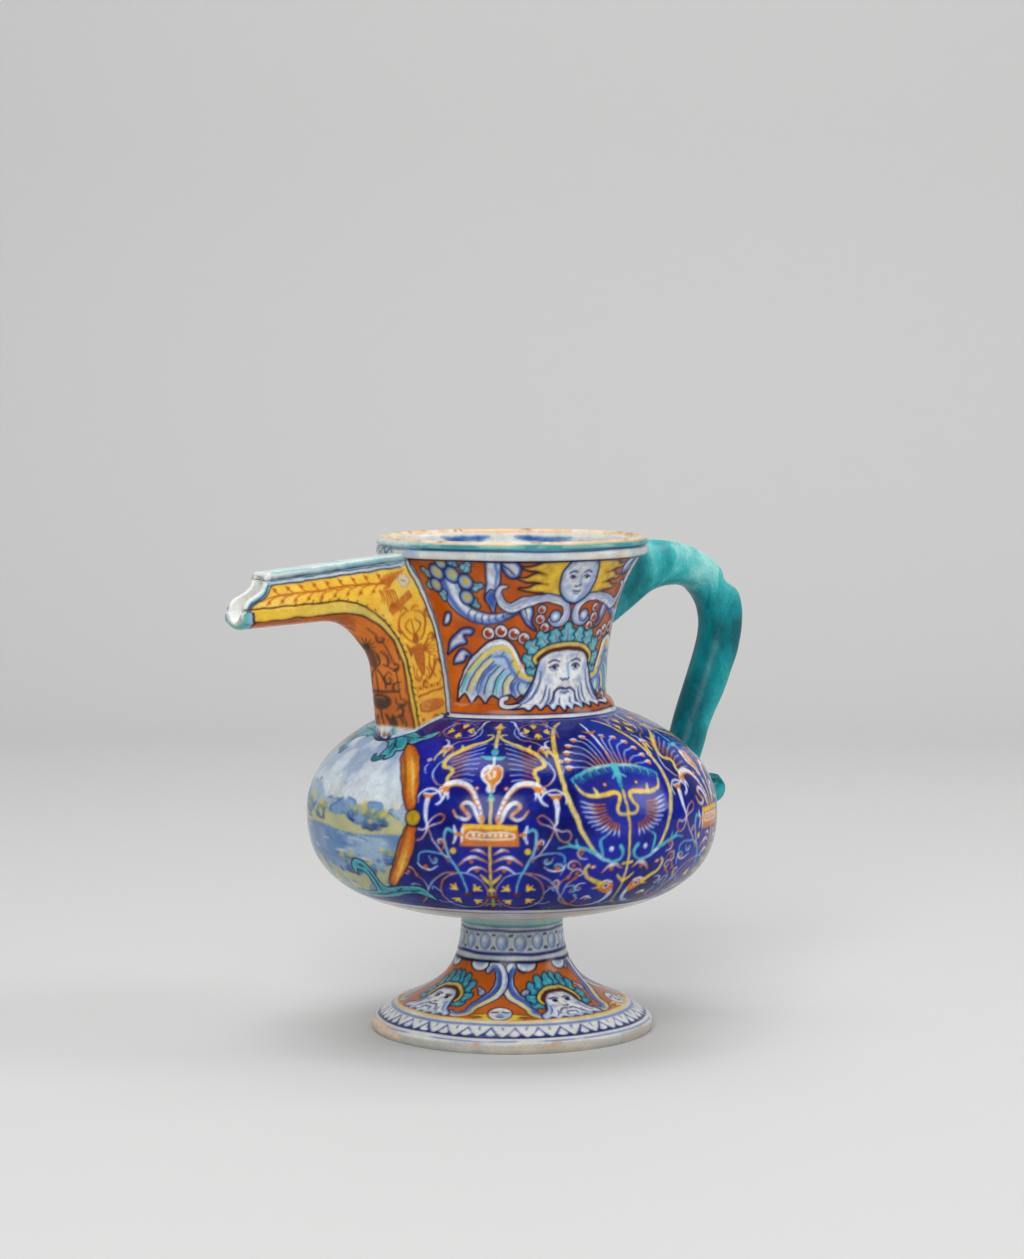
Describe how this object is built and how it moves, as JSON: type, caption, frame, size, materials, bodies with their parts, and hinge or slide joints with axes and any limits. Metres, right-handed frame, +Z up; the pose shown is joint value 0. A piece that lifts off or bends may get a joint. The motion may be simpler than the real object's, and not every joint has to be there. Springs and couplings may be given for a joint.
{
  "type": "ewer",
  "caption": "Glazed earthenware ewer: round belly on a pedestal foot, flaring neck, slab-built square spout and pulled handle, for pouring water.",
  "frame": {"origin": "on the resting plane, under the middle of the whole ewer's length and width", "axes": "+Z up, +X from the spout towards the handle, +Y to the left of the spout's mirror plane"},
  "size_m": [0.2588, 0.1796, 0.2167],
  "materials": {
    "foot_glaze": "gloss tin glaze, painted",
    "pale_glaze": "gloss white tin glaze",
    "belly_glaze": "gloss cobalt-ground tin glaze, painted",
    "neck_glaze": "gloss orange-ground tin glaze, painted",
    "spout_front_glaze": "gloss orange-ground tin glaze, painted",
    "spout_cheek_glaze": "gloss yellow tin glaze, painted",
    "teal_glaze": "gloss mottled turquoise glaze"
  },
  "bodies": {
    "root": {"foot": "foot_glaze", "foot_collar": "pale_glaze", "body": "belly_glaze", "neck_collar": "pale_glaze", "neck": "neck_glaze", "spout_front": "spout_front_glaze", "spout_near_cheek": "spout_cheek_glaze", "spout_far_cheek": "spout_cheek_glaze", "spout_top": "pale_glaze", "spout_root_fillet": "pale_glaze", "handle": "teal_glaze", "handle_curl": "teal_glaze"}
  },
  "joints": []
}
